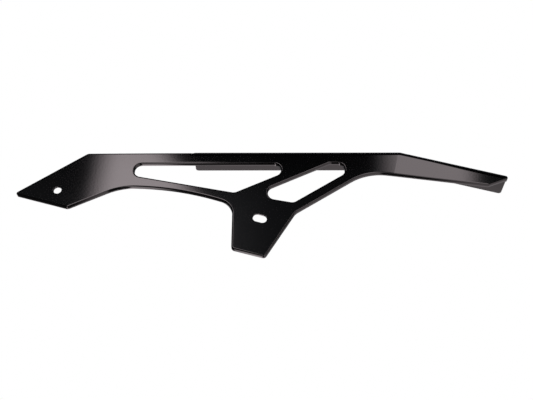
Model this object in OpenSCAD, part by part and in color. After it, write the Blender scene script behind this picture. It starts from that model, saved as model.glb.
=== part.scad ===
// Motorcycle chain guard: one sheet, cut with two windows and folded along its top.
// X runs from the nose to the rear, Z is up, and the outer face looks towards -Y.
// The origin is the centre of the front fixing hole, on the outer face.

/* [Sheet] */
// Thickness of the sheet
sheet_t = 4; // [3:0.5:5]
// Inside radius of the fold along the top
bend_r = 3; // [1.5:0.5:4]
// Width of the folded flange, from the outer face to its back edge
flange_w = 25.8; // [20:0.1:34]
// Where the flange starts, measured back from the front hole
flange_start = 108; // [90:1:130]
// Radius of the flange's two outer corners
flange_corner_r = 2.5; // [1:0.5:5]
// Slant of the flange's rear end from square
flange_end_a = 3.8; // [0:0.1:6]

/* [Nose] */
// From the front hole forward to the point of the nose
nose_len = 34.7; // [28:0.1:42]
// Drop of the nose point below the hole
nose_drop = 3.4; // [0:0.2:6]
// Angle of the nose's upper edge
nose_top_a = 36; // [32:0.5:42]
// Angle of the nose's lower edge
nose_low_a = 16; // [12:0.5:20]
// Radius at the nose point
nose_r = 1.7; // [0.5:0.1:3]
// Radius where the nose meets the top edge
shoulder_r = 5; // [2:1:12]
// Radius where the nose meets the rising edge behind it
chin_r = 4; // [1:1:8]

/* [Top edge] */
// Height of the flange's top above the hole
flange_h = 40.2; // [37:0.2:46]
// How far the plate's top edge lies below the flange's top, where the flange starts
top_drop = 3.4; // [2.5:0.1:6]
// Rise of the plate's top edge towards the flange
top_a = 0.3; // [0:0.1:1]

/* [Arch] */
// Angle of the edge that rises from the chin
rise_a = 26.3; // [24:0.1:30]
// Distance of the arch's crown behind the hole
crown_x = 61.7; // [54:0.2:68]
// Height of the arch's crown above the hole
crown_h = 3.5; // [2:0.1:6]
// Fall of the edge at the crown
crown_a = 2.5; // [0.5:0.1:3]
// Radius in front of the crown
crown_front_r = 50; // [35:1:60]
// Radius behind the crown
crown_rear_r = 226; // [180:2:235]
// Distance of the long curve's corner behind the crown
fall_x = 35.9; // [35:0.1:45]
// Angle of the falling edge that meets the tab
fall_a = 18.2; // [17:0.1:19]

/* [Tab] */
// Distance of the tab's front edge behind the hole
tab_x = 141.6; // [136:0.2:148]
// Radius between the falling edge and the tab
tab_fillet_r = 14; // [8:1:15]
// Depth of the tab's front edge below the hole
tab_depth = 53.4; // [46:0.2:60]
// Width of the tab's lower edge, measured along X
tab_w = 26; // [22:0.5:34]
// Angle of the tab's lower edge
tab_low_a = 15.8; // [10:0.1:20]
// Angle of the tab's rear edge
tab_rear_a = 58.5; // [54:0.5:64]
// Radius of the tab's two lower corners
tab_corner_r = 3; // [1:0.5:5]
// Radius where the tab meets the rear brace
brace_r = 10; // [4:1:20]

/* [Rear brace and tail] */
// Angle of the rear brace
brace_a = 33.2; // [31:0.1:35]
// Distance of the brace's foot line behind the hole, where it crosses the hole's level
brace_x = 224.3; // [219:0.1:228]
// Radius under the tail, between the brace and the tail's lower edge
tail_fillet_r = 44; // [30:1:50]
// Angle of the tail's top edge
tail_top_a = 14.9; // [13:0.1:17]
// Angle of the tail's lower edge
tail_low_a = 7.4; // [6:0.1:9]
// Height of the sheet at the crease, measured down from the flange's top
crease_h = 26; // [24:0.1:28]
// Distance of the crease behind the hole, at the top
crease_x = 280.9; // [276:0.1:290]
// Turn of the tail towards the inner side at the crease
crease_a = 1; // [0.2:0.1:3]
// Length of the tail along its top edge
tail_len = 89.9; // [75:0.1:95]
// Angle of the cut at the tail's end, from the tail's top edge
tail_cut_a = 36.5; // [33:0.5:45]
// Height of the square part of the tail's end, above the cut
tail_end_h = 5.5; // [5:0.1:6.5]
// Radius at the lower corner of the tail's end
tail_corner_r = 2; // [0.5:0.5:4]
// Width of the slit that parts the two lengths of flange at the crease
slit_w = 1.2; // [0.8:0.2:2.5]

/* [Windows] */
// Radius in the corners of both windows
window_r = 6; // [3:0.5:6.4]
// Angle of the lower edge shared by both windows
window_low_a = 11.3; // [10:0.1:12]
// Depth of that edge's line below the flange's top, straight above the hole
window_low_drop = 14.1; // [13.8:0.1:15]
// Distance of the front window's front end behind the hole
front_window_x = 60.2; // [54:0.1:68]
// Distance of the front window's rear end behind the hole
front_window_end_x = 180.8; // [170:0.1:188]
// Depth of the front window's upper edge below the flange's top
front_window_drop = 14.1; // [12.5:0.1:15]
// Distance of the rear window's front end behind the hole
rear_window_x = 169.9; // [167:0.1:176]
// Distance of the rear window's rear end behind the hole
rear_window_end_x = 233.3; // [226:0.1:240]
// Depth of the rear window's upper edge below the flange's top
rear_window_drop = 13.4; // [12.5:0.1:15]
// Angle of the brace between the windows
mid_brace_a = 25.8; // [25:0.1:27]
// Distance behind the hole where the middle brace's upper edge crosses the hole's level
mid_brace_x = 148; // [145:0.1:152]
// Width of the brace between the windows
mid_brace_w = 7.9; // [6:0.1:10]
// Width of the rear brace
rear_brace_w = 8.5; // [6:0.1:11]

/* [Fixing points] */
// Diameter of the front hole
hole_d = 6.4; // [5:0.2:8.5]
// Distance of the slot's centre behind the front hole
slot_x = 163.5; // [158:0.5:169]
// Depth of the slot's centre below the front hole
slot_z = 26.6; // [22:0.2:32]
// Width of the slot
slot_w = 7; // [5:0.2:8.5]
// Overall length of the slot
slot_len = 11.3; // [9:0.1:18]
// Fall of the slot towards the rear
slot_a = 15.8; // [0:0.1:25]
// Depth of the countersink round the hole and the slot, on the inner face
sink_depth = 2.4; // [0.5:0.1:2.5]

/* [Hidden] */
$fn = 96;

// Small overlap that carries a cut past the face it opens
eps = 1;
// What an arc is made larger by, so that it crosses the edges that it joins
hair = 0.003;
// How far the tail reaches into the front length, so that the two are one
lap = 0.02;
// A length beyond the whole part, for blocks that cut it
beyond = 500;

bend_out = bend_r + sheet_t;
section_leg = beyond / 2;

// Corner points of the outline, each where two straight edges would meet
nose = [-nose_len, -nose_drop];
crown = [crown_x, crown_h];
crease_top = [crease_x, flange_h];
crease_foot = along(crease_top, -90 - tail_top_a, crease_h);
tail_end_top = along(crease_top, -tail_top_a, tail_len);
tail_end_low = along(tail_end_top, -90 - tail_top_a, tail_end_h);
tail_cut_top = meet(tail_end_low, tail_cut_a - tail_top_a,
    along(crease_top, 90 - tail_top_a, eps), -tail_top_a);
brace_foot = [brace_x, 0];

top_end = [flange_start, flange_h - top_drop];
shoulder = meet(nose, nose_top_a, top_end, top_a);
rise_start = [crown_x, crown_h - crown_front_r]
    + crown_front_r * [-sin(rise_a), cos(rise_a)];
chin = meet(nose, -nose_low_a, rise_start, rise_a);
arch_front = meet(rise_start, rise_a, crown, -crown_a);
arch_rear = along(crown, -crown_a, fall_x);
tab_top = meet(arch_rear, -fall_a, [tab_x, 0], 90);
tab_front = [tab_x, -tab_depth];
tab_rear = tab_front + [tab_w, -tab_w * tan(tab_low_a)];
tab_brace = meet(tab_rear, tab_rear_a, brace_foot, brace_a);
under_tail = meet(brace_foot, brace_a, crease_foot, -tail_low_a);
tail_corner = meet(tail_end_low, tail_cut_a - tail_top_a, crease_foot, -tail_low_a);

// Points on the windows' edges
window_low = [0, flange_h - window_low_drop];
mid_brace_top = [mid_brace_x, 0];
mid_brace_low = along(mid_brace_top, mid_brace_a - 90, mid_brace_w);
rear_brace_top = along(brace_foot, brace_a + 90, rear_brace_w);

// The point at a distance from another one, in a direction given by its angle
function along(p, a, d) = p + d * [cos(a), sin(a)];

// The point where the line through p at angle a meets the line through q at angle b
function meet(p, a, q, b) =
    let (n = [-sin(b), cos(b)], u = [cos(a), sin(a)])
    p + u * (((q - p) * n) / (u * n));

// The turn from direction u to direction v, positive to the left
function turn(u, v) = atan2(u.x * v.y - u.y * v.x, u * v);

function unit(v) = v / norm(v);

// The corner piece between an arc of radius r and the two edges that meet at b.
// It reaches a little past the edges, and its arc is a hair large, so that the arc
// crosses both edges and leaves no sliver where it would only touch them.
module corner_piece(a, b, c, r) {
    u = unit(b - a);
    v = unit(c - b);
    side = sign(turn(u, v));
    reach = r * tan(abs(turn(u, v)) / 2);
    from = b - u * reach;
    to = b + v * reach;
    centre = from + side * r * [-u.y, u.x];
    past = 1 + 0.4 / r;
    difference() {
        polygon([centre, centre + past * (from - centre),
                 centre + past * (b - centre), centre + past * (to - centre)]);
        translate(centre) circle(r = r + hair, $fn = 180);
    }
}

// A closed outline that runs anticlockwise through corners [point, radius]
module rounded_outline(corners) {
    n = len(corners);
    pts = [for (k = corners) k[0]];
    function left(i) = turn(pts[i] - pts[(i + n - 1) % n], pts[(i + 1) % n] - pts[i]) > 0;
    difference() {
        union() {
            polygon(pts);
            for (i = [0 : n - 1])
                if (corners[i][1] > 0 && !left(i))
                    corner_piece(pts[(i + n - 1) % n], pts[i], pts[(i + 1) % n], corners[i][1]);
        }
        for (i = [0 : n - 1])
            if (corners[i][1] > 0 && left(i))
                corner_piece(pts[(i + n - 1) % n], pts[i], pts[(i + 1) % n], corners[i][1]);
    }
}

// The outer face laid flat, reaching past the fold where there is a flange
module face_outline() {
    rounded_outline([
        [nose, nose_r],
        [chin, chin_r],
        [arch_front, crown_front_r],
        [arch_rear, crown_rear_r],
        [tab_top, tab_fillet_r],
        [tab_front, tab_corner_r],
        [tab_rear, tab_corner_r],
        [tab_brace, brace_r],
        [under_tail, tail_fillet_r],
        [tail_corner, tail_corner_r],
        [tail_cut_top, 0],
        [along(crease_top, 90 - tail_top_a / 2, eps), 0],
        [[flange_start, flange_h + eps], 0],
        [top_end, 0],
        [shoulder, shoulder_r]
    ]);
}

module front_window() {
    high = [0, flange_h - front_window_drop];
    front = [front_window_x, 0];
    rear = [front_window_end_x, 0];
    rounded_outline([
        [meet(high, 0, front, 90), window_r],
        [meet(window_low, -window_low_a, front, 90), window_r],
        [meet(window_low, -window_low_a, mid_brace_top, mid_brace_a), window_r],
        [meet(mid_brace_top, mid_brace_a, rear, 90), window_r],
        [meet(high, 0, rear, 90), window_r]
    ]);
}

module rear_window() {
    high = [0, flange_h - rear_window_drop];
    front = [rear_window_x, 0];
    rear = [rear_window_end_x, 0];
    rounded_outline([
        [meet(mid_brace_low, mid_brace_a, front, 90), window_r],
        [meet(window_low, -window_low_a, front, 90), window_r],
        [meet(window_low, -window_low_a, rear_brace_top, brace_a), window_r],
        [meet(rear_brace_top, brace_a, rear, 90), window_r],
        [meet(high, 0, rear, 90), window_r],
        [meet(mid_brace_low, mid_brace_a, high, 0), window_r]
    ]);
}

// Carries a shape drawn in X and Z through the depth from y0 to y1
module through(y0, y1) {
    translate([0, y1, 0])
        rotate([90, 0, 0])
            linear_extrude(y1 - y0)
                children();
}

// Section across the sheet: standing leg, fold and flange, with its outer corner at the origin
module folded_section() {
    translate([0, -section_leg])
        square([sheet_t, section_leg - bend_out]);
    translate([bend_out, -bend_out])
        intersection() {
            difference() {
                circle(r = bend_out);
                circle(r = bend_r);
            }
            translate([-bend_out, 0])
                square(bend_out);
        }
    translate([bend_out, -sheet_t])
        square([flange_w - bend_out, sheet_t]);
}

// Takes the square corner off the flange's back edge, seen from above.
// The corner stands at the origin and the flange lies towards +X and -Y.
module flange_corner() {
    translate([0, 0, -beyond / 2])
        linear_extrude(beyond)
            difference() {
                translate([-eps, -flange_corner_r])
                    square(flange_corner_r + eps);
                translate([flange_corner_r, -flange_corner_r])
                    circle(r = flange_corner_r);
            }
}

// Moves a frame with X along the tail's top edge to the crease, turned inwards by an
// angle about the sheet's inner face
module at_crease(a) {
    translate([crease_x, 0, flange_h])
        rotate([0, tail_top_a, 0])
            translate([0, sheet_t, 0])
                rotate([0, 0, a])
                    translate([0, -sheet_t, 0])
                        children();
}

// The half of space ahead of the crease, cut off halfway between the two lengths' planes
module ahead_of_crease() {
    at_crease(crease_a / 2)
        translate([-beyond, -beyond / 2, -beyond / 2])
            cube([beyond, beyond, beyond]);
}

// Everything ahead of the crease
module front_length() {
    difference() {
        intersection() {
            union() {
                translate([flange_start, 0, flange_h])
                    rotate([90, 0, 90])
                        linear_extrude(crease_x - flange_start + flange_w)
                            folded_section();
                through(0, sheet_t)
                    translate([-nose_len - eps, flange_h - section_leg]) {
                        square([nose_len + eps + flange_start, section_leg]);
                        square([nose_len + 2 * eps + flange_start, section_leg - bend_out]);
                    }
            }
            through(-eps, flange_w + eps)
                face_outline();
            ahead_of_crease();
        }
        translate([flange_start, flange_w, flange_h])
            flange_corner();
    }
}

// What lies behind the tail's end, seen from above, with X along the tail's top edge
module behind_tail() {
    start = [tail_len, bend_out];
    end = start + (flange_w - bend_out) * [tan(flange_end_a), 1];
    polygon([
        [tail_len, -eps],
        [tail_len + flange_w, -eps],
        [tail_len + flange_w, flange_w + eps],
        end + eps * [tan(flange_end_a), 1],
        start
    ]);
    corner_piece(start, end, [0, flange_w], flange_corner_r);
}

// The tail in its own frame, reaching ahead of the crease
module tail() {
    difference() {
        intersection() {
            translate([-flange_w, 0, 0])
                rotate([90, 0, 90])
                    linear_extrude(2 * flange_w + tail_len)
                        folded_section();
            through(-eps, flange_w + eps)
                rotate(tail_top_a)
                    translate(-crease_top)
                        face_outline();
        }
        translate([0, 0, -beyond / 2])
            linear_extrude(beyond)
                behind_tail();
    }
}

// The slit in the flange, at the crease
module crease_slit() {
    at_crease(crease_a / 2)
        translate([-slit_w / 2, bend_out + eps, -sheet_t - eps])
            cube([slit_w, flange_w, sheet_t + 2 * eps]);
}

// A round hole through the sheet at the origin, countersunk on the inner face
module sunk_hole(d) {
    translate([0, sheet_t + eps, 0])
        rotate([90, 0, 0]) {
            cylinder(d = d, h = sheet_t + 2 * eps);
            cylinder(r1 = d / 2 + sink_depth + eps, r2 = d / 2, h = sink_depth + eps);
        }
}

// Section of the slot's straight part: its width, opening out towards the inner face
module sunk_section() {
    narrow = slot_w / 2;
    wide = narrow + sink_depth + eps;
    polygon([
        [-eps, -narrow],
        [sheet_t - sink_depth, -narrow],
        [sheet_t + eps, -wide],
        [sheet_t + eps, wide],
        [sheet_t - sink_depth, narrow],
        [-eps, narrow]
    ]);
}

module fixing_slot() {
    half = (slot_len - slot_w) / 2;
    translate([slot_x, 0, -slot_z])
        rotate([0, slot_a, 0]) {
            for (x = [-half, half])
                translate([x, 0, 0])
                    sunk_hole(slot_w);
            translate([-half, 0, 0])
                rotate([90, 0, 90])
                    linear_extrude(2 * half)
                        sunk_section();
        }
}

module chain_guard() {
    color([0.05, 0.05, 0.055])
        difference() {
            union() {
                front_length();
                difference() {
                    at_crease(crease_a)
                        tail();
                    translate([-lap, 0, 0])
                        ahead_of_crease();
                }
            }
            through(-eps, flange_w + eps) {
                front_window();
                rear_window();
            }
            sunk_hole(hole_d);
            fixing_slot();
            crease_slit();
        }
}

chain_guard();
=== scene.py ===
"""Motorcycle chain guard in black powder-coated sheet, seen from below, on white.

The sheet is worked out in a flat plan first. A point of the plan is (a, h): a is the
distance behind the front hole and h is the height above the line where the fold begins,
so the plate has h below 0 and the fold and the flange have h above 0. Sheet.place folds
the plan into space. All sizes are in metres.
"""

import math

import bpy
import numpy as np
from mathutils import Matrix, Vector
from mathutils.geometry import delaunay_2d_cdt


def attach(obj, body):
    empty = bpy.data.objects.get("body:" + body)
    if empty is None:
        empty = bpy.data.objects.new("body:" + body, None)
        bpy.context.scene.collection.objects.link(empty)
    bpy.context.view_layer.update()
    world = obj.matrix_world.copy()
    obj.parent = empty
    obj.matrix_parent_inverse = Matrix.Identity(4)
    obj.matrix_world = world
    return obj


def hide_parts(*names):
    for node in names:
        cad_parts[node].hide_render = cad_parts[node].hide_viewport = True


bl_info = {
    "name": "Chain guard",
    "version": (1, 0, 0),
    "blender": (4, 5, 0),
    "location": "View3D > Sidebar > Chain guard",
    "description": "Builds a folded and powder-coated chain guard, and its stage",
    "category": "Object",
}

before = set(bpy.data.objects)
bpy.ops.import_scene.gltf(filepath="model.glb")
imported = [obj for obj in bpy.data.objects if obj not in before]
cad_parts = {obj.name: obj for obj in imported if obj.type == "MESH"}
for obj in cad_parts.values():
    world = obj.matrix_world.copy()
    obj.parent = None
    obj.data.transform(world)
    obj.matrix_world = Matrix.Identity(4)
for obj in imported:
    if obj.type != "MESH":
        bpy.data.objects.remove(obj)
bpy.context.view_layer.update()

MM = 1000  # millimetres in a metre
WHITE = (1, 1, 1, 1)
NODE_WIDTH, NODE_HEIGHT = 220, 260  # room for a node in the node editor

# How fine the mesh is, in metres where it isn't a count, a share or an angle
EDGE_STEP = 0.0016  # along the sheet's edges
CLIMB_STEP = 0.00055  # along an edge that climbs round the fold
ARC_STEP = math.radians(7)  # the most that one step of an arc turns
ARC_LEAST = 3  # steps in the shortest arc
ROUND_POINTS = 64  # round the hole, and round the slot
ROUND_ROWS = 6  # over each quarter round of a cut edge
GRID = 0.005  # between the points of a face
PLATE_ROWS = 0.008  # between their rows on the plate
FOLD_ROWS = 13  # from one end of the fold to the other
FOLD_GAP = 0.004  # kept free of rows below the fold
MITRE_COLUMNS = 21  # across the mitre, and as far beside it as its share says
MITRE_SHARE = 1.25
LEAD_COLUMNS = 7  # over the run-in, and as far ahead of it as its share says
LEAD_SHARE = 1.2
CREASE_STEP = 0.0015  # down the crease
CREASE_ROWS = 7  # across it
CREASE_GAP = 0.0012  # kept free beside those rows
LINE_GAP = 0.0004  # kept free under the line where the fold begins
RIM_GAP = 0.0007  # kept free along every outline
SAME_POINT = 1e-7  # points nearer than this are one, in millimetres

# Small forms of the sheet
MITRE_REACH = 0.008  # to each side of the crease, where the fold turns down
CORNER_SPARE = 0.0002  # by which a tight corner's radius passes the edge's rounding
SLIT_ROUND = 0.9  # radius at the slit's end, as a share of half its width
CONE_EASE = 0.1  # easing of a countersink's throat, as a share of its depth

# Powder coat
CLOUDS = 22.0  # clouds in a metre
CLOUD_DARK, CLOUD_PALE = 0.35, 0.68  # noise at which the coat has each of its colours
CLOUD_LOW, CLOUD_HIGH = 0.3, 0.7  # noise over which its roughness changes

# Edges of the studio's lit areas, for what glosses show. The light rises smoothly from
# the first limit to the second. The limits are parts of a ray's direction: across for
# starts and ends, up for tops and feet, and ahead for what lies behind.
LEFT_START, LEFT_END = (-0.243, -0.201), (-0.103, -0.152)
LEFT_TOP, LEFT_FOOT = (0.64, 0.605), (-0.05, 0.35)
LEFT_DIM, LEFT_DIM_SHARE = (0.635, 0.545), 0.58  # the panel is dimmer towards its top
LEFT_LEAN = (0.78, -0.437)  # its edges lean: so much for each step up, and an offset
LEFT_LEAN_MOST = 0.05
LEFT_START_LEAN = -0.32  # lean of its outer edge, as a share of its inner edge's
RIGHT_START, RIGHT_END, RIGHT_TOP = (0.145, 0.201), (0.320, 0.290), (0.80, 0.70)
GLOW_TOP, GLOW_FOOT = (0.60, 0.50), (0.28, 0.42)
GLOW_START, GLOW_END = (-0.07, -0.17), (0.03, -0.06)  # the glow is full between them
GLOW_SHARE = 0.4  # what is left of it beyond
BEHIND = (-0.25, 0.25)
FAR_FOOT, FAR_LEAST = (0.35, 0.05), 0.1  # the far wall is lit low down
COOL_AT, WARM_AT = 0.1, 0.9  # strengths that have the cool and the warm colour

# The same on the floor, in metres: along the guard, and behind it.
GROUND_REACH, GROUND_FRONT, GROUND_END = (-0.60, -0.45), (0.80, 1.02), (3.5, 4.5)
GROUND_NOSE, GROUND_NOSE_SHARE = (-0.10, -0.04), 0.25  # less pale ahead of the nose
GROUND_LEAST = 0.05  # light that its dark parts have too
POOL_START, POOL_START_SLANT = (-0.19, -0.12), 0.11  # the left panel's light on it
POOL_END, POOL_END_SLANT = (0.03, -0.03), 0.07
SPILL_START, SPILL_BACK = (0.34, 0.42), (0.98, 0.85)  # the right panel's light on it
SPILL_SHARE = 0.4
FLOOR_SHADE = 0.98  # darker patches of the floor's own colour
FLOOR_WHITE = 0.8  # share of plain white in what the camera sees of it
FLOOR_ROUGHNESS = 0.9

# Camera
SENSOR_WIDTH = 36.0  # millimetres
CLIP = (0.01, 50.0)  # nearest and farthest that it sees


# --- Sizes and colours ---


def number(name, description, default, **more):
    """A number that a user can change."""
    return bpy.props.FloatProperty(
        name=name, description=description, default=default, **more
    )


def length(name, description, mm):
    """A length given in millimetres and kept in metres."""
    return number(name, description, mm / MM, precision=5, unit="LENGTH")


def angle(name, description, degrees):
    """An angle given in degrees and kept in radians."""
    return number(name, description, math.radians(degrees), subtype="ANGLE")


def factor(name, description, value, most=1.0):
    """A plain number from 0 up."""
    return number(name, description, value, min=0.0, max=most)


def colour(name, description, value):
    """A colour, as linear red, green and blue."""
    return bpy.props.FloatVectorProperty(
        name=name, description=description, default=value, subtype="COLOR", min=0, max=1
    )


class SheetSizes(bpy.types.PropertyGroup):
    """The sheet, its fold and the flange."""

    thickness: length("Thickness", "Thickness of the sheet", 4)
    bend: length("Bend radius", "Inside radius of the fold", 3)
    flange_width: length("Flange width", "From the outer face to its back edge", 25.8)
    flange_start: length("Flange start", "Where the flange begins, behind the hole", 108)
    flange_corner: length("Flange corner", "Radius of the flange's two outer corners", 2.5)
    flange_slant: angle("Flange slant", "Slant of the flange's rear end from square", 3.8)
    run_in: length("Run-in", "Length over which the plate's edge leans into the fold", 3)
    slit: length("Slit", "Width of the slit that parts the flange at the crease", 1.2)
    edge_across: length("Outer edge across", "Reach of its round over the outer face", 1.3)
    edge_down: length("Outer edge down", "Reach of its round down the cut wall", 0.6)
    edge_ease: length("Inner edge", "Radius of the cut edges on the inner face", 0.5)
    edge_bow: angle("Edge bow", "How far the coat makes the cut walls look bowed", 25)


class OutlineSizes(bpy.types.PropertyGroup):
    """The outline of the plate."""

    nose_len: length("Nose length", "From the hole forward to the nose point", 34.7)
    nose_drop: length("Nose drop", "Drop of the nose point below the hole", 3.4)
    nose_top: angle("Nose top", "Angle of the nose's upper edge", 36)
    nose_low: angle("Nose underside", "Angle of the nose's lower edge", 16)
    nose_round: length("Nose rounding", "Radius at the nose point", 1.7)
    shoulder_round: length("Shoulder", "Radius where the nose meets the top edge", 5)
    chin_round: length("Chin", "Radius where the nose meets the rising edge", 4)
    flange_height: length("Flange height", "Height of its top above the hole", 40.2)
    top_drop: length("Top drop", "Drop of the top edge at the flange's start", 3.4)
    top_rise: angle("Top rise", "Rise of the plate's top edge towards the flange", 0.3)
    rise: angle("Rise", "Angle of the edge that rises from the chin", 26.3)
    crown_x: length("Crown place", "Distance of the arch's crown behind the hole", 61.7)
    crown_height: length("Crown height", "Height of the arch's crown above the hole", 3.5)
    crown_fall: angle("Crown fall", "Fall of the edge at the crown", 2.5)
    crown_front: length("Front arc", "Radius in front of the crown", 50)
    crown_rear: length("Rear arc", "Radius behind the crown", 226)
    fall_x: length("Fall place", "Distance of the fall's corner behind the crown", 35.9)
    fall: angle("Fall", "Angle of the falling edge that meets the tab", 18.2)
    tab_x: length("Tab place", "Distance of the tab's front edge behind the hole", 141.6)
    tab_fillet: length("Tab fillet", "Radius between the falling edge and the tab", 14)
    tab_depth: length("Tab depth", "Depth of the tab's front edge below the hole", 53.4)
    tab_width: length("Tab width", "Width of the tab's lower edge", 26)
    tab_low: angle("Tab underside", "Angle of the tab's lower edge", 15.8)
    tab_rear: angle("Tab rear", "Angle of the tab's rear edge", 58.5)
    tab_round: length("Tab rounding", "Radius of the tab's two lower corners", 3)
    brace_round: length("Brace fillet", "Radius where the tab meets the rear brace", 10)
    brace: angle("Brace", "Angle of the rear brace", 33.2)
    brace_x: length("Brace place", "Where its lower edge is level with the hole", 224.3)
    tail_fillet: length("Tail fillet", "Radius under the tail", 44)
    tail_top: angle("Tail top", "Angle of the tail's top edge", 14.9)
    tail_low: angle("Tail underside", "Angle of the tail's lower edge", 7.4)
    crease_x: length("Crease place", "Distance of the crease behind the hole", 280.9)
    crease_height: length("Crease height", "Height of the sheet at the crease", 26)
    crease_turn: angle("Crease turn", "Inward turn of the tail at the crease", 1)
    crease_width: length("Crease width", "Width of the rounded crease", 3)
    tail_len: length("Tail length", "Length of the tail along its top edge", 89.9)
    tail_cut: angle("Tail cut", "Angle of the cut at the tail's end", 36.5)
    tail_end: length("Tail end", "Height of the square part of the tail's end", 5.5)
    tail_round: length("Tail rounding", "Radius at the lower corner of the tail's end", 2)


class OpeningSizes(bpy.types.PropertyGroup):
    """The two windows, the round hole and the slot."""

    corner: length("Window corners", "Radius in the corners of both windows", 6)
    low: angle("Lower edge", "Angle of the lower edge shared by both windows", 11.3)
    low_drop: length("Lower edge drop", "Depth of that edge below the flange's top", 14.1)
    front_x: length("Front window start", "Its front end behind the hole", 60.2)
    front_end: length("Front window end", "Its rear end behind the hole", 180.8)
    front_drop: length("Front window top", "Depth of its upper edge below the flange", 14.1)
    rear_x: length("Rear window start", "Its front end behind the hole", 169.9)
    rear_end: length("Rear window end", "Its rear end behind the hole", 233.3)
    rear_drop: length("Rear window top", "Depth of its upper edge below the flange", 13.4)
    brace: angle("Middle brace", "Angle of the brace between the windows", 25.8)
    brace_x: length(
        "Middle brace place", "Where its upper edge is level with the hole", 148
    )
    brace_width: length("Middle brace width", "Width of the brace between the windows", 7.9)
    rear_brace_width: length("Rear brace width", "Width of the rear brace", 8.5)
    hole: length("Hole", "Diameter of the front hole", 6.4)
    slot_x: length("Slot place", "Distance of the slot's centre behind the hole", 163.5)
    slot_z: length("Slot depth", "Depth of the slot's centre below the hole", 26.6)
    slot_width: length("Slot width", "Width of the slot", 7)
    slot_len: length("Slot length", "Overall length of the slot", 11.3)
    slot_fall: angle("Slot fall", "Fall of the slot towards the rear", 15.8)
    mouth_round: length("Mouth rounding", "Radius at the mouths of hole and slot", 0.4)
    sink: length("Countersink", "Depth of the countersink on the inner face", 2.4)


class CoatLook(bpy.types.PropertyGroup):
    """The powder coat."""

    dark: colour("Coat", "Colour of the coat", (0.0009, 0.0008, 0.0010))
    pale: colour("Coat bloom", "Colour of its lighter clouds", (0.0016, 0.0015, 0.0018))
    roughness: factor("Roughness", "Roughness of the satin coat", 0.06)
    cloud: factor("Roughness change", "How much the roughness changes", 0.015)
    peel: length("Peel depth", "Depth of the coat's fine orange peel", 0.004)
    peel_size: length("Peel size", "Size of the orange peel's bumps", 1.8)
    ridge: length("Crease lip", "Height of the fine lip that the crease leaves", 0.015)
    ridge_width: length("Lip width", "Width over which that lip falls away", 0.8)


class StageLook(bpy.types.PropertyGroup):
    """Floor, surround, lamp and camera."""

    floor: colour("Floor", "Colour of the floor", (0.80, 0.80, 0.80))
    floor_drop: length("Floor drop", "Depth of the floor below the hole", 700)
    floor_reach: length("Floor reach", "How far the floor goes to each side", 20000)
    ambient: factor("Soft light", "Strength of the even light from all sides", 0.85, 5)
    lamp_power: factor("Lamp power", "Power of the soft lamp, in watts", 6.0, 100)
    lamp_width: length("Lamp width", "Width of the lamp", 1200)
    lamp_depth: length("Lamp depth", "Depth of the lamp", 800)
    lamp_x: length("Lamp along", "The lamp's place along the guard", 170)
    lamp_away: length("Lamp away", "Distance of the lamp in front of the guard", 500)
    lamp_height: length("Lamp height", "Height of the lamp above the hole", 1500)
    panels: factor("Panels", "Strength of the left panel, in the gloss", 6.0, 20)
    right_share: factor("Right panel", "The right panel's share of that", 0.62)
    glow: factor("Low glow", "Strength of the faint glow low in front", 0.25)
    sweep: factor("Sweep", "Strength of the pale ground behind, in the gloss", 0.95, 5)
    under: factor("Under", "Strength of the left panel's light on the ground", 3.0, 9)
    far: factor("Far", "Strength of the far wall behind, in the gloss", 0.4, 5)
    warm: colour("Warm", "Colour of the panels' light", (1.0, 0.885, 0.915))
    cool: colour("Cool", "Colour of the faint light between them", (0.90, 0.94, 1.0))
    camera_x: length("Camera along", "Camera's place along the guard", 168.83)
    camera_away: length(
        "Camera away", "Distance of the camera in front of the guard", 483.0
    )
    camera_below: length("Camera below", "Depth of the camera below the hole", 311.6)
    camera_tilt: angle("Camera tilt", "Upward tilt of the camera", 32)
    camera_roll: angle("Camera roll", "Turn of the camera about its line of sight", -0.08)
    camera_view: length("Focal length", "Focal length on a sensor 36 mm wide", 48.09)


# --- Plan of the sheet ---


def along(point, turn, distance):
    """The point at a distance from another, in the direction of an angle."""
    ahead = np.array([math.cos(turn), math.sin(turn)])
    return np.array(point, float) + distance * ahead


def meet(p, a, q, b):
    """Where the line through p at angle a crosses the line through q at angle b."""
    p, q = np.array(p, float), np.array(q, float)
    n = np.array([-math.sin(b), math.cos(b)])
    u = np.array([math.cos(a), math.sin(a)])
    return p + u * ((q - p) @ n) / (u @ n)


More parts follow.
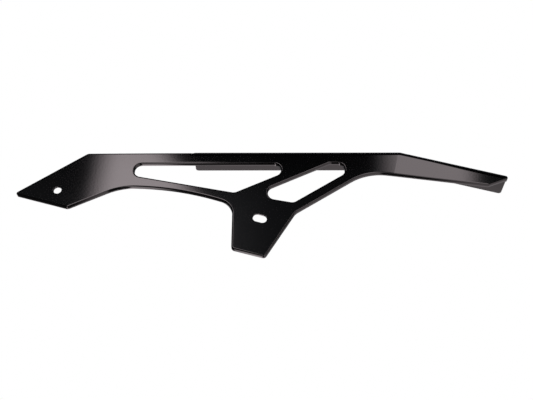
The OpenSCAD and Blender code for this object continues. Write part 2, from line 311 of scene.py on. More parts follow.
class Sheet:
    """The sheet's fold, crease and mitre, and the way from its plan into space."""

    def __init__(self, sheet, outline):
        self.t = sheet.thickness
        self.outside = sheet.bend + sheet.thickness
        self.middle = sheet.bend + sheet.thickness / 2
        self.fold_len = self.middle * math.pi / 2
        self.flange_end = self.fold_len + sheet.flange_width - self.outside
        self.start = sheet.flange_start
        self.run_in = sheet.run_in
        self.top = outline.flange_height
        self.base = self.top - self.outside
        self.slope = outline.tail_top
        self.crease = np.array([outline.crease_x, self.top])
        self.turn = outline.crease_turn
        self.soft = outline.crease_width / 2
        self.bend_x = self.crease[0] - self.outside * math.tan(self.slope / 2)
        self.mitre = MITRE_REACH

    def fold_line(self, a):
        """Height where the fold begins: level, then falling along the tail."""
        return self.base - np.maximum(a - self.bend_x, 0) * math.tan(self.slope)

    def plan(self, xz):
        """Plan point of a plate point: its height is taken from the fold line."""
        xz = np.atleast_2d(xz)
        return np.c_[xz[:, 0], xz[:, 1] - self.fold_line(xz[:, 0])]

    def plate(self, ah):
        """The plate point of a plan point, the other way round."""
        ah = np.atleast_2d(ah)
        return np.c_[ah[:, 0], ah[:, 1] + self.fold_line(ah[:, 0])]

    def tail_station(self, distance):
        """Plan station of a section at a distance behind the crease, along the tail."""
        return (
            self.crease[0]
            + distance * math.cos(self.slope)
            - self.outside * math.sin(self.slope)
        )

    def lean(self, a):
        """Lean of the section at station a, and what stretches it there.

        The lean grows from 0 ahead of the crease to half the tail's slope at it and to
        the whole slope behind it, and a section that leans away from square is longer
        by one over the cosine of the difference.
        """
        s = np.clip((a - self.bend_x) / self.mitre, -1, 1)
        lean = self.slope * 0.5 * (1 + np.sin(s * math.pi / 2))
        square = np.where(a < self.bend_x, 0.0, self.slope)
        return lean, 1 / np.cos(lean - square)

    def place(self, ah, depth):
        """Folds plan points into space, at a depth below the outer face.

        Up to h = 0 a point stays in the plate. Round the fold it goes by the angle h
        over the middle radius, at the radius that its depth leaves. Past the fold it
        goes straight back. Ahead of the flange's start the fold fades into the flat
        plate. Last, what lies behind the crease turns inward, through a short round
        bend, and nothing may stand above the top of the sheet.
        """
        a, h = np.asarray(ah, float).T
        depth = np.broadcast_to(depth, a.shape)
        up = np.maximum(h, 0)
        angle_here = np.minimum(up, self.fold_len) / self.middle
        past = np.maximum(up - self.fold_len, 0)
        radius = self.outside - depth
        rise = radius * np.sin(angle_here)
        back = self.outside - radius * np.cos(angle_here) + past
        s = np.clip((a - self.start + self.run_in) / self.run_in, 0, 1)
        folded = s * s * (3 - 2 * s)
        rise = folded * rise + (1 - folded) * up
        back = folded * back + (1 - folded) * depth
        lean, stretch = self.lean(a)
        x = a + rise * np.sin(lean) * stretch
        z = self.fold_line(a) + np.minimum(h, 0) + rise * np.cos(lean) * stretch
        cs, sn = math.cos(self.slope), math.sin(self.slope)
        behind = (x - self.crease[0]) * cs - (z - self.crease[1]) * sn
        share = np.clip((behind + self.soft) / (2 * self.soft), 0, 1)
        slope_here = self.turn * share
        inward = self.turn * (self.soft * share**2 + np.maximum(behind - self.soft, 0))
        moved = (self.t - back) * np.sin(slope_here)
        moved = moved - self.turn**2 / 2 * np.maximum(behind, 0)
        y = self.t + (back - self.t) * np.cos(slope_here) + inward
        z = np.minimum(z - moved * sn, self.top)
        return np.stack([x + moved * cs, y, z], axis=-1)


def rounded_loop(corners, sheet):
    """A closed plan outline through rounded corners, as closely set points.

    Every corner is (point, radius, in_plan). A corner of the plate is rounded in the
    true plane of the plate, and one of the fold or flange is rounded in the plan. An
    arc keeps its radius from both edges: it touches them radius times the tangent of
    half the turn from the corner. The edges between arcs are cut into steps, which are
    fine where the edge climbs round the fold.
    """
    plate = np.array([c[0] if not c[2] else sheet.plate(c[0])[0] for c in corners])
    arcs = []
    for i, (_, radius, in_plan) in enumerate(corners):
        three = plate[[i - 1, i, (i + 1) % len(corners)]]
        if in_plan:
            three = sheet.plan(three)
        a, b, c = three
        u, v = (b - a) / np.hypot(*(b - a)), (c - b) / np.hypot(*(c - b))
        turn = math.atan2(u[0] * v[1] - u[1] * v[0], u @ v)
        reach = radius * math.tan(abs(turn) / 2)
        side = math.copysign(1, turn)
        centre = b - u * reach + side * radius * np.array([-u[1], u[0]])
        by_angle = math.ceil(abs(turn) / ARC_STEP)
        by_length = math.ceil(abs(turn) * radius / EDGE_STEP)
        first = math.atan2(u[1], u[0]) - side * math.pi / 2
        at = first + turn * np.linspace(0, 1, max(ARC_LEAST, by_angle, by_length) + 1)
        arc = centre + radius * np.c_[np.cos(at), np.sin(at)]
        arcs.append(sheet.plate(arc) if in_plan else arc)
    points = []
    for i, arc in enumerate(arcs):
        nxt = arcs[(i + 1) % len(arcs)][0]
        run = nxt - arc[-1]
        steep = abs(run[1]) > abs(run[0])
        climbs = steep and sheet.plan([nxt, arc[-1]])[:, 1].max() > 0
        n = max(1, math.ceil(np.hypot(*run) / (CLIMB_STEP if climbs else EDGE_STEP)))
        points.append(arc)
        points.append(arc[-1] + np.linspace(0, 1, n + 1)[1:-1, None] * run)
    return sheet.plan(np.concatenate(points))


def outer_corners(sheet, s, o):
    """Corners of the sheet's outline, anticlockwise from the nose.

    The sheet's own sizes come as s and the outline's as o.
    """
    nose = [-o.nose_len, -o.nose_drop]
    crown = np.array([o.crown_x, o.crown_height])
    crease_foot = along(sheet.crease, -math.pi / 2 - o.tail_top, o.crease_height)
    end_top = along(sheet.crease, -o.tail_top, o.tail_len)
    end_low = along(end_top, -math.pi / 2 - o.tail_top, o.tail_end)
    brace_foot = [o.brace_x, 0]
    top_end = [sheet.start, o.flange_height - o.top_drop]
    shoulder = meet(nose, o.nose_top, top_end, o.top_rise)
    rise_start = crown + [
        -o.crown_front * math.sin(o.rise),
        o.crown_front * (math.cos(o.rise) - 1),
    ]
    chin = meet(nose, -o.nose_low, rise_start, o.rise)
    arch_front = meet(rise_start, o.rise, crown, -o.crown_fall)
    arch_rear = along(crown, -o.crown_fall, o.fall_x)
    tab_top = meet(arch_rear, -o.fall, [o.tab_x, 0], math.pi / 2)
    tab_front = np.array([o.tab_x, -o.tab_depth])
    tab_rear = tab_front + [o.tab_width, -o.tab_width * math.tan(o.tab_low)]
    tab_brace = meet(tab_rear, o.tab_rear, brace_foot, o.brace)
    under_tail = meet(brace_foot, o.brace, crease_foot, -o.tail_low)
    tail_corner = meet(end_low, o.tail_cut - o.tail_top, crease_foot, -o.tail_low)
    end = sheet.tail_station(o.tail_len)
    cut_rise = sheet.middle * math.asin(1 - o.tail_end / sheet.outside)
    slant = (s.flange_width - sheet.outside) * math.tan(s.flange_slant)
    small = s.edge_across + CORNER_SPARE
    gap = s.slit / 2
    slit_round = gap * SLIT_ROUND
    return [
        (nose, o.nose_round, False),
        (chin, o.chin_round, False),
        (arch_front, o.crown_front, False),
        (arch_rear, o.crown_rear, False),
        (tab_top, o.tab_fillet, False),
        (tab_front, o.tab_round, False),
        (tab_rear, o.tab_round, False),
        (tab_brace, o.brace_round, False),
        (under_tail, o.tail_fillet, False),
        (tail_corner, o.tail_round, False),
        ([end, cut_rise], small, True),
        ([end, sheet.fold_len], small, True),
        ([end + slant, sheet.flange_end], s.flange_corner, True),
        ([sheet.bend_x + gap, sheet.flange_end], small, True),
        ([sheet.bend_x + gap, sheet.fold_len], slit_round, True),
        ([sheet.bend_x - gap, sheet.fold_len], slit_round, True),
        ([sheet.bend_x - gap, sheet.flange_end], small, True),
        ([sheet.start, sheet.flange_end], s.flange_corner, True),
        ([sheet.start, top_end[1] - sheet.base], small, True),
        (shoulder, o.shoulder_round, False),
    ]


def window_corners(o, w):
    """Corners of the front and the rear window, anticlockwise.

    The outline's sizes come as o and the windows' own as w.
    """
    low, mid = [0, o.flange_height - w.low_drop], [w.brace_x, 0]
    mid_low = along(mid, w.brace - math.pi / 2, w.brace_width)
    rear_top = along([o.brace_x, 0], o.brace + math.pi / 2, w.rear_brace_width)
    up = math.pi / 2
    high = [0, o.flange_height - w.front_drop]
    start, end = [w.front_x, 0], [w.front_end, 0]
    front = [
        meet(high, 0, start, up),
        meet(low, -w.low, start, up),
        meet(low, -w.low, mid, w.brace),
        meet(mid, w.brace, end, up),
        meet(high, 0, end, up),
    ]
    high = [0, o.flange_height - w.rear_drop]
    start, end = [w.rear_x, 0], [w.rear_end, 0]
    rear = [
        meet(mid_low, w.brace, start, up),
        meet(low, -w.low, start, up),
        meet(low, -w.low, rear_top, o.brace),
        meet(rear_top, o.brace, end, up),
        meet(high, 0, end, up),
        meet(mid_low, w.brace, high, 0),
    ]
    return [[(p, w.corner, False) for p in window] for window in (front, rear)]


def slot_outline(centre, width, long, fall):
    """A slot's outline, in the plane of the plate.

    It is a circle whose two halves stand apart by the slot's length less its width.
    """
    at = np.linspace(0, 2 * math.pi, ROUND_POINTS, endpoint=False)
    at = at + math.pi / ROUND_POINTS
    half = (long - width) / 2
    across = width / 2 * np.cos(at) + half * np.sign(np.cos(at))
    local = np.c_[across, width / 2 * np.sin(at)]
    cs, sn = math.cos(-fall), math.sin(-fall)
    return centre + local @ np.array([[cs, sn], [-sn, cs]])


# --- Mesh of the sheet ---


def inside(points, loops):
    """True for each point that has an odd number of the loops' edges to its right."""
    x, y = points[:, 0, None], points[:, 1, None]
    crossed = np.zeros(len(points), int)
    for loop in loops:
        p, q = loop, np.roll(loop, -1, 0)
        rising = (p[:, 1] > y) != (q[:, 1] > y)
        span = np.where(p[:, 1] == q[:, 1], 1, q[:, 1] - p[:, 1])
        at = p[:, 0] + (y - p[:, 1]) * (q[:, 0] - p[:, 0]) / span
        crossed += (rising & (x < at)).sum(1)
    return crossed % 2 == 1


def inset(loop, distance):
    """A loop moved by a distance to its left."""
    run = np.roll(loop, -1, 0) - np.roll(loop, 1, 0)
    run = run / np.linalg.norm(run, axis=1, keepdims=True)
    return loop + distance * np.c_[-run[:, 1], run[:, 0]]


def inner_points(sheet, loops, crease_height):
    """Points within the plan, for one face.

    They are a grid with close rows round the fold and close columns at the mitre and
    the run-in, and lines of points down the crease. Grid points next to those lines or
    next to an outline are left out.
    """
    low = min(loop[:, 1].min() for loop in loops)
    left = min(loop[:, 0].min() for loop in loops)
    right = max(loop[:, 0].max() for loop in loops)
    rows = np.r_[
        np.arange(low, -FOLD_GAP, PLATE_ROWS),
        np.linspace(0, sheet.fold_len, FOLD_ROWS),
        np.arange(sheet.fold_len + GRID, sheet.flange_end, GRID),
    ]
    near = np.linspace(-MITRE_SHARE, MITRE_SHARE, MITRE_COLUMNS)
    lead = np.linspace(0, LEAD_SHARE, LEAD_COLUMNS)
    columns = np.r_[
        np.arange(left, right, GRID),
        sheet.bend_x + sheet.mitre * near,
        sheet.start - sheet.run_in * lead,
    ]
    columns = np.unique(np.round(columns, 5))
    grid = np.stack(np.meshgrid(columns, rows), -1).reshape(-1, 2)
    down = np.arange(sheet.outside, crease_height, CREASE_STEP)
    across = sheet.soft * np.linspace(-1, 1, CREASE_ROWS)
    d, c = (v.ravel() for v in np.meshgrid(down, across))
    cs, sn = math.cos(sheet.slope), math.sin(sheet.slope)
    x = sheet.crease[0] + c * cs - d * sn
    z = sheet.crease[1] - c * sn - d * cs
    beside = sheet.plan(np.c_[x, z])
    beside = beside[beside[:, 1] < -LINE_GAP]
    spot = sheet.plate(grid) - sheet.crease
    behind = spot @ np.array([cs, -sn])
    clear = (np.abs(behind) > sheet.soft + CREASE_GAP) | (grid[:, 1] > -LINE_GAP)
    points = np.concatenate([grid[clear], beside])
    points = points[inside(points, loops)]
    edge = np.concatenate(loops)
    apart = np.linalg.norm(points[:, None] - edge[None], axis=2).min(axis=1)
    return points[apart > RIM_GAP]


def triangles_of(loops, points):
    """Triangles that join loops and points, inside the first loop and outside the rest.

    All of it works in millimetres at the triangulation's own single precision, so that
    a sliver at a straight edge is on the same side of it for every test.
    """
    flat = (np.concatenate([*loops, points]) * MM).astype(np.float32).astype(float)
    edges, first, rims = [], 0, []
    for loop in loops:
        at = first + np.arange(len(loop))
        edges.append(np.c_[at, np.roll(at, -1)])
        rims.append(flat[at])
        first += len(loop)
    edges = np.concatenate(edges)
    made, _, faces, origin, _, _ = delaunay_2d_cdt(
        [Vector(p) for p in flat], edges.tolist(), [], 0, SAME_POINT, True
    )
    if len(made) != len(flat):
        raise RuntimeError("the sheet's outlines cross: change the sizes")
    back = np.array([o[0] for o in origin])
    tri = back[np.array(faces)]
    tri = tri[inside(flat[tri].mean(1), rims)]
    p, q, r = flat[tri[:, 0]], flat[tri[:, 1]], flat[tri[:, 2]]
    e, f = q - p, r - p
    flip = e[:, 0] * f[:, 1] - e[:, 1] * f[:, 0] < 0
    tri[flip] = tri[flip][:, ::-1]
    return tri


def cut_edge(t, front, back, bow=0.0):
    """Profile of a plain cut edge: a quarter round, the cut wall and a quarter round.

    A profile's rows are (across, down, normal across, normal down). Across is the way
    into the sheet from the sharp edge, and down is the way through it from the outer
    face. At the angle k of a round, its point stands off the edge by (1 - sin k) times
    the round's reach across and (1 - cos k) times its reach down, and its normal has
    turned by k less its share of the bow: the wall between the rounds shades as if it
    bulged by that angle.
    """
    k = np.linspace(0, math.pi / 2, ROUND_ROWS + 1)
    sin, cos = 1 - np.sin(k), 1 - np.cos(k)
    turn, turn_back = k * (1 - 2 * bow / math.pi), k * (1 - bow / math.pi)
    first = np.c_[front[0] * sin, front[1] * cos, -np.sin(turn), -np.cos(turn)]
    last = np.c_[back * sin, t - back * cos, -np.sin(turn_back), np.cos(turn_back)]
    return np.concatenate([first, last[::-1]])


def sunk_edge(t, front, sink):
    """Profile of a countersunk edge: a quarter round, the throat and a 45 degree cone.

    The cone opens by its own depth, and a small round eases its rim into the inner
    face.
    """
    first = cut_edge(t, (front, front), front)[: ROUND_ROWS + 1]
    throat, near = t - sink, CONE_EASE * sink
    slope = math.sqrt(0.5)
    bend = math.pi / 8
    walls = [
        [0, throat - near, -1, 0],
        [0, throat, -math.cos(bend), math.sin(bend)],
        [near, throat + near, -slope, slope],
    ]
    k = np.linspace(math.pi / 4, math.pi / 2, ROUND_ROWS + 1)
    sin, cos = np.sin(k), np.cos(k)
    rim = sink + front * math.tan(bend)
    last = np.c_[rim - front * cos, t - front * (1 - sin), -cos, sin]
    return np.concatenate([first, walls, last])


def edge_band(sheet, loop, profile):
    """Rows of points and normals along a loop, one row for each row of the profile.

    A row is the loop moved inward in the plan by its distance across, and folded at its
    distance down. The normals lean between the way through the sheet and the way into
    it: the loop runs with the material on its left, so the way in is the loop's
    direction crossed with the way through.
    """
    rows = np.stack([sheet.place(inset(loop, row[0]), row[1]) for row in profile])
    outer, inner = sheet.place(loop, 0.0), sheet.place(loop, sheet.t)
    through = inner - outer
    through /= np.linalg.norm(through, axis=1, keepdims=True)
    middle = (outer + inner) / 2
    into = np.cross(np.roll(middle, -1, 0) - np.roll(middle, 1, 0), through)
    into /= np.linalg.norm(into, axis=1, keepdims=True)
    normal_across, normal_down = profile.T[2:, :, None, None]
    return rows, normal_across * into + normal_down * through


def sheet_mesh(name, sheet, loops, profiles, crease_height):
    """A closed mesh of the sheet: outer face, inner face and a band along each loop.

    Each face is its own triangles of the plan, folded at no depth and at the sheet's
    full depth. Its rim is the first or the last row of each band, so the parts share
    their points.
    """
    co, normal, faces = [], [], []
    rims, start = ([], []), 0
    for loop, profile in zip(loops, profiles):
        rows, row_normals = edge_band(sheet, loop, profile)
        high, count = rows.shape[:2]
        at = start + np.arange(high * count).reshape(high, count)
        ahead = np.roll(at, -1, 1)
        quads = np.stack([at[:-1], at[1:], ahead[1:], ahead[:-1]], -1)
        co.append(rows.reshape(-1, 3))
        normal.append(row_normals.reshape(-1, 3))
        faces.extend(quads.reshape(-1, 4).tolist())
        rims[0].append(at[0])
        rims[1].append(at[-1])
        start += high * count
    for side, depth in enumerate((0.0, sheet.t)):
        inset_loops = [inset(loop, p[-side, 0]) for loop, p in zip(loops, profiles)]
        points = inner_points(sheet, inset_loops, crease_height)
        tri = triangles_of(inset_loops, points)
        through = sheet.place(points, sheet.t) - sheet.place(points, 0.0)
        through /= np.linalg.norm(through, axis=1, keepdims=True)
        co.append(sheet.place(points, depth))
        normal.append(through if side else -through)
        number = np.concatenate([*rims[side], start + np.arange(len(points))])
        faces.extend(number[tri[:, ::-1] if side else tri].tolist())
        start += len(points)
    mesh = bpy.data.meshes.new(name)
    mesh.from_pydata(np.concatenate(co).tolist(), [], faces)
    mesh.polygons.foreach_set("use_smooth", np.ones(len(mesh.polygons), bool))
    mesh.normals_split_custom_set_from_vertices(np.concatenate(normal).tolist())
    mesh.update()
    return mesh


# --- Finishes ---


class Tree:
    """The empty node tree of a material or a world, and short ways to fill it."""

    def __init__(self, owner):
        owner.use_nodes = True
        self.nodes, self.links = owner.node_tree.nodes, owner.node_tree.links
        self.nodes.clear()

    def node(self, kind, *inputs, **named):
        """A node of a kind, its settings and inputs given by name or in order.

        A socket is linked to its input, and any other value is set.
        """
        made = self.nodes.new(kind)
        for key, value in (*named.items(), *enumerate(inputs)):
            if key in named and key not in made.inputs:
                setattr(made, key, value)
            elif isinstance(value, bpy.types.NodeSocket):
                self.links.new(value, made.inputs[key])
            else:
                made.inputs[key].default_value = value
        return made

    def add(self, kind, *inputs, **named):
        """The first output of a new node."""
        return self.node(kind, *inputs, **named).outputs[0]

    def maths(self, kind, *values):
        """One step of arithmetic on sockets and numbers."""
        return self.add("ShaderNodeMath", *values, operation=kind)

    def smooth(self, value, limits):
        """Rises smoothly from 0 to 1 as the value goes from one limit to the other."""
        return self.add(
            "ShaderNodeMapRange", value, *limits, interpolation_type="SMOOTHSTEP"
        )

    def faded(self, amount, value, limits):
        """An amount times a smooth step of a value: it is gone at the first limit."""
        return self.maths("MULTIPLY", amount, self.smooth(value, limits))

    def between(self, kind, share, first, second):
        """Goes from the first to the second as the share goes from 0 to 1."""
        made = self.node(
            "ShaderNodeMix", data_type=kind, Factor=share, A=first, B=second
        )
        return made.outputs["Result"]

    def two_colours(self, value, low, high):
        """A colour between two, each given with the value that it stands at."""
        made = self.node("ShaderNodeValToRGB", value)
        for stop, (at, shade) in zip(made.color_ramp.elements, (low, high)):
            stop.position, stop.color = at, (*shade, 1)
        return made.outputs[0]

    def rays(self):
        """Whether a ray is the camera's, a gloss's or one through glass."""
        path = self.node("ShaderNodeLightPath").outputs
        names = ("Is Camera Ray", "Is Glossy Ray", "Is Transmission Ray")
        return [path[name] for name in names]

    def finish(self, kind, shader):
        """Adds the output, and sets each node in a column ahead of all that read it."""
        self.node(kind, shader)
        column = {made.name: 0 for made in self.nodes}
        for _ in self.nodes:
            for link in self.links:
                at = column[link.to_node.name] + 1
                column[link.from_node.name] = max(at, column[link.from_node.name])
        filled = {}
        for name, at in column.items():
            row = filled[at] = filled.get(at, -1) + 1
            self.nodes[name].location = (-NODE_WIDTH * at, -NODE_HEIGHT * row)


def powder_coat(look, outline):
    """Satin black powder coat: faint clouds of colour and gloss, and an orange peel.

    The bend at the crease leaves a fine lip across the sheet, on the line that runs
    from the top of the crease square to the tail: the coat stands higher ahead of it.
    """
    material = bpy.data.materials.new("black_powder_coat")
    tree = Tree(material)
    spot = tree.node("ShaderNodeTexCoord").outputs["Object"]
    cloud = tree.add(
        "ShaderNodeTexNoise", spot, Scale=CLOUDS, Detail=3.0, Roughness=0.55
    )
    tint = tree.two_colours(cloud, (CLOUD_DARK, look.dark), (CLOUD_PALE, look.pale))
    least, most = look.roughness - look.cloud / 2, look.roughness + look.cloud / 2
    gloss = tree.add("ShaderNodeMapRange", cloud, CLOUD_LOW, CLOUD_HIGH, least, most)
    fine = 1 / look.peel_size
    peel = tree.add("ShaderNodeTexNoise", spot, Scale=fine, Detail=2.0, Roughness=0.5)
    bump = tree.add("ShaderNodeBump", Strength=1.0, Distance=look.peel, Height=peel)
    cs, sn = math.cos(outline.tail_top), math.sin(outline.tail_top)
    away = tree.node(
        "ShaderNodeVectorMath", spot, (cs, 0, -sn), operation="DOT_PRODUCT"
    )
    crease = outline.crease_x * cs - outline.flange_height * sn
    behind = tree.maths("SUBTRACT", away.outputs["Value"], crease)
    crest = tree.smooth(behind, (0.0, -look.ridge_width))
    ridge = tree.add(
        "ShaderNodeBump", Strength=1.0, Distance=look.ridge, Height=crest, Normal=bump
    )
    coat = tree.add("ShaderNodeBsdfPrincipled", tint, Roughness=gloss, Normal=ridge)
    tree.finish("ShaderNodeOutputMaterial", coat)
    return material


def ground_light(tree, spot, look):
    """How bright the floor is at a spot, as glosses show it.

    It is dark in front of the guard and pale behind. The left panel's light lies across
    it in a slanting strip, a little of the right panel's falls in front, and the far
    wall takes over where the ground ends.
    """
    x, y, _ = tree.node("ShaderNodeSeparateXYZ", spot).outputs
    most, least = 1 - GROUND_NOSE_SHARE, GROUND_NOSE_SHARE
    pale = tree.maths("MULTIPLY_ADD", tree.smooth(x, GROUND_NOSE), most, least)
    pale = tree.faded(pale, x, GROUND_REACH)
    pale = tree.maths("MULTIPLY_ADD", pale, look.sweep, GROUND_LEAST)
    pale = tree.faded(pale, y, GROUND_FRONT)
    pale = tree.faded(pale, y, GROUND_END[::-1])
    near = tree.maths("MULTIPLY_ADD", y, POOL_START_SLANT, x)
    ends = tree.maths("MULTIPLY_ADD", y, POOL_END_SLANT, x)
    pool = tree.faded(tree.smooth(near, POOL_START), ends, POOL_END)
    spill = tree.faded(tree.smooth(x, SPILL_START), y, SPILL_BACK)
    pool = tree.maths("MULTIPLY_ADD", spill, SPILL_SHARE, pool)
    beyond = tree.maths("MULTIPLY", tree.smooth(y, GROUND_END), look.far)
    pale = tree.maths("ADD", pale, beyond)
    lit = tree.maths("MULTIPLY_ADD", pool, look.under, pale)
    return tree.maths("ADD", lit, GROUND_LEAST)


def floor_finish(look):
    """Pale matt floor, nearly white to the camera, that still takes a soft shadow.

    A gloss sees it lit in zones instead, as a studio's ground is.
    """
    material = bpy.data.materials.new("stage_floor")
    tree = Tree(material)
    spot = tree.node("ShaderNodeTexCoord").outputs["Object"]
    grain = tree.add("ShaderNodeTexNoise", spot, Scale=3.0, Detail=4.0)
    shade = [FLOOR_SHADE * c for c in look.floor]
    tint = tree.two_colours(grain, (0, shade), (1, look.floor))
    matt = tree.add("ShaderNodeBsdfPrincipled", tint, Roughness=FLOOR_ROUGHNESS)
    camera, glossy, through = tree.rays()
    strength = tree.between("FLOAT", glossy, 1.0, ground_light(tree, spot, look))
    tone = tree.between("RGBA", glossy, WHITE, (*look.warm, 1))
    glow = tree.add("ShaderNodeEmission", tone, strength)
    seen = tree.maths("ADD", camera, through)
    seen = tree.maths("MULTIPLY_ADD", seen, FLOOR_WHITE, glossy)
    shown = tree.add("ShaderNodeMixShader", seen, matt, glow)
    tree.finish("ShaderNodeOutputMaterial", shown)
    return material


def studio_light(tree, direction, look):
    """How bright the studio is in a direction, as glosses show it.

    In front of the guard it is dark, but for two tall panels of light, one towards each
    end, and a faint glow low between them. Behind is a far wall that is lit low down.
    Every edge is a smooth step over a part of the direction, and those of the left
    panel lean with the height.
    """
    x, y, z = tree.node("ShaderNodeSeparateXYZ", direction).outputs
    lean = tree.maths("MULTIPLY_ADD", z, *LEFT_LEAN)
    lean = tree.maths("MINIMUM", lean, LEFT_LEAN_MOST)
    lean = tree.maths("MAXIMUM", lean, -LEFT_LEAN_MOST)
    start = tree.maths("MULTIPLY_ADD", lean, LEFT_START_LEAN, x)
    end = tree.maths("ADD", lean, x)
    left = tree.faded(tree.smooth(start, LEFT_START), end, LEFT_END)
    most, least = 1 - LEFT_DIM_SHARE, LEFT_DIM_SHARE
    high = tree.maths("MULTIPLY_ADD", tree.smooth(z, LEFT_DIM), most, least)
    high = tree.faded(high, z, LEFT_TOP)
    high = tree.faded(high, z, LEFT_FOOT)
    right = tree.faded(tree.smooth(x, RIGHT_START), x, RIGHT_END)
    right = tree.faded(right, z, RIGHT_TOP)
    right = tree.maths("MULTIPLY", right, look.right_share)
    front = tree.maths("MULTIPLY_ADD", left, high, right)
    front = tree.maths("MULTIPLY", front, look.panels)
    low = tree.maths("MULTIPLY", tree.smooth(z, GLOW_TOP), look.glow)
    low = tree.faded(low, z, GLOW_FOOT)
    side = [tree.smooth(x, limits) for limits in (GLOW_END, GLOW_START)]
    side = tree.maths("SUBTRACT", *side)
    side = tree.maths("MULTIPLY_ADD", side, 1 - GLOW_SHARE, GLOW_SHARE)
    front = tree.maths("MULTIPLY_ADD", low, side, front)
    far = tree.smooth(z, FAR_FOOT)
    far = tree.maths("MULTIPLY_ADD", far, look.far, FAR_LEAST)
    return tree.between("FLOAT", tree.smooth(y, BEHIND), front, far)


# --- Operators ---


def add_object(name, data):
    """A new object in the scene."""
    made = bpy.data.objects.new(name, data)
    bpy.context.scene.collection.objects.link(made)
    return made


class GUARD_OT_sheet(bpy.types.Operator):
    """Builds the folded sheet with its windows, hole and slot"""

    bl_idname = "guard.sheet"
    bl_label = "Folded sheet"
    bl_options = {"REGISTER", "UNDO"}

    def execute(self, context):
        scene = context.scene
        s, o, w = scene.guard_sheet, scene.guard_outline, scene.guard_openings
        sheet = Sheet(s, o)
        outer = rounded_loop(outer_corners(sheet, s, o), sheet)
        windows = [rounded_loop(c, sheet)[::-1] for c in window_corners(o, w)]
        hole = slot_outline(np.zeros(2), w.hole, w.hole, 0.0)
        slot_at = np.array([w.slot_x, -w.slot_z])
        slot = slot_outline(slot_at, w.slot_width, w.slot_len, w.slot_fall)
        rounds = [sheet.plan(loop)[::-1] for loop in (hole, slot)]
        loops = [outer, *windows, *rounds]
        front = (s.edge_across, s.edge_down)
        plain = cut_edge(s.thickness, front, s.edge_ease, s.edge_bow)
        sunk = sunk_edge(s.thickness, w.mouth_round, w.sink)
        profiles = [plain, plain, plain, sunk, sunk]
        mesh = sheet_mesh("guard_sheet", sheet, loops, profiles, o.crease_height)
        mesh.materials.append(powder_coat(scene.guard_coat, o))
        piece = add_object("guard_sheet", mesh)
        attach(piece, "root")
        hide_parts("chain_guard")
        return {"FINISHED"}


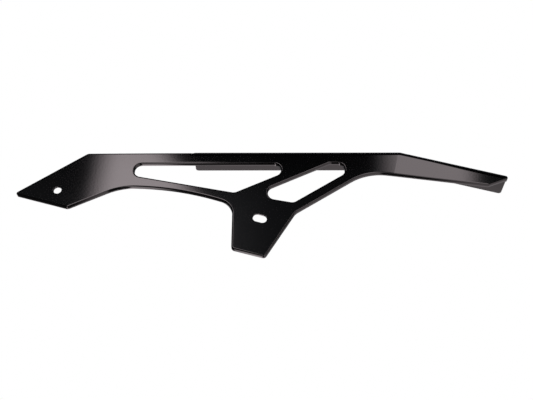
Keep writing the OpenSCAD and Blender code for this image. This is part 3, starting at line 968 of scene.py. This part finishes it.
class GUARD_OT_stage(bpy.types.Operator):
    """Sets the pale floor, the white surround, the soft lamp and the camera"""

    bl_idname = "guard.stage"
    bl_label = "Stage and camera"
    bl_options = {"REGISTER", "UNDO"}

    def execute(self, context):
        look = context.scene.guard_stage
        self.floor(look)
        self.surround(context.scene, look)
        self.lamp(look)
        self.camera(context.scene, look)
        context.scene.view_settings.view_transform = "Standard"
        return {"FINISHED"}

    def floor(self, look):
        """A wide level floor."""
        corners = look.floor_reach * np.array([[-1, -1], [1, -1], [1, 1], [-1, 1]])
        corners = [(x, y, -look.floor_drop) for x, y in corners]
        mesh = bpy.data.meshes.new("floor")
        mesh.from_pydata(corners, [], [(0, 1, 2, 3)])
        mesh.materials.append(floor_finish(look))
        add_object("floor", mesh)

    def surround(self, scene, look):
        """White for the camera, an even soft light, and a studio for the glosses."""
        world = bpy.data.worlds.new("studio")
        world.cycles.sampling_method = "NONE"
        scene.world = world
        tree = Tree(world)
        direction = tree.node("ShaderNodeTexCoord").outputs["Generated"]
        strength = studio_light(tree, direction, look)
        hue = tree.two_colours(strength, (COOL_AT, look.cool), (WARM_AT, look.warm))
        gloss = tree.add("ShaderNodeBackground", hue, strength)
        soft = tree.add("ShaderNodeBackground", WHITE, look.ambient)
        white = tree.add("ShaderNodeBackground", WHITE, 1.0)
        camera, glossy, through = tree.rays()
        seen = tree.maths("ADD", camera, through)
        shine = tree.add("ShaderNodeMixShader", glossy, soft, gloss)
        shown = tree.add("ShaderNodeMixShader", seen, shine, white)
        tree.finish("ShaderNodeOutputWorld", shown)

    def lamp(self, look):
        """One wide soft lamp above and in front, which gives the floor its shadow."""
        lamp = bpy.data.lights.new("soft_lamp", "AREA")
        lamp.shape = "RECTANGLE"
        lamp.size, lamp.size_y = look.lamp_width, look.lamp_depth
        lamp.energy = look.lamp_power
        made = add_object("soft_lamp", lamp)
        made.location = (look.lamp_x, -look.lamp_away, look.lamp_height)
        made.visible_glossy = False
        aim = Vector((look.lamp_x, 0, 0)) - made.location
        made.rotation_euler = aim.to_track_quat("-Z", "Y").to_euler()

    def camera(self, scene, look):
        """The photograph's camera: level across, tilted up, at its own distance."""
        data = bpy.data.cameras.new("camera")
        data.sensor_width = SENSOR_WIDTH
        data.lens = look.camera_view * MM
        data.clip_start, data.clip_end = CLIP
        made = add_object("camera", data)
        made.location = (look.camera_x, -look.camera_away, -look.camera_below)
        tilt, roll = look.camera_tilt, look.camera_roll
        ahead = Vector((0, math.cos(tilt), math.sin(tilt)))
        side, up = Vector((1, 0, 0)), Vector((0, -math.sin(tilt), math.cos(tilt)))
        right = math.cos(roll) * side + math.sin(roll) * up
        top = -math.sin(roll) * side + math.cos(roll) * up
        matrix = made.matrix_world.to_3x3()
        matrix.col[0], matrix.col[1], matrix.col[2] = right, top, -ahead
        made.rotation_euler = matrix.to_euler()
        scene.camera = made


class GUARD_PT_panel(bpy.types.Panel):
    """Lists the steps that build the chain guard"""

    bl_idname = "GUARD_PT_panel"
    bl_label = "Chain guard"
    bl_space_type = "VIEW_3D"
    bl_region_type = "UI"
    bl_category = "Chain guard"

    def draw(self, context):
        for operator in STEPS:
            self.layout.operator(operator.bl_idname)
        for name, group in GROUPS.items():
            box = self.layout.box()
            box.label(text=group.__doc__)
            for key in group.__annotations__:
                box.prop(getattr(context.scene, name), key)


STEPS = (GUARD_OT_sheet, GUARD_OT_stage)
GROUPS = {
    "guard_sheet": SheetSizes,
    "guard_outline": OutlineSizes,
    "guard_openings": OpeningSizes,
    "guard_coat": CoatLook,
    "guard_stage": StageLook,
}


def register():
    """Makes the groups, operators and panel known to Blender."""
    for cls in (*GROUPS.values(), *STEPS, GUARD_PT_panel):
        bpy.utils.register_class(cls)
    for name, group in GROUPS.items():
        setattr(bpy.types.Scene, name, bpy.props.PointerProperty(type=group))


def unregister():
    """Takes them away again."""
    for name in GROUPS:
        delattr(bpy.types.Scene, name)
    for cls in reversed((*GROUPS.values(), *STEPS, GUARD_PT_panel)):
        bpy.utils.unregister_class(cls)


def main():
    register()
    bpy.ops.guard.sheet()
    bpy.ops.guard.stage()


if __name__ == "__main__":
    main()
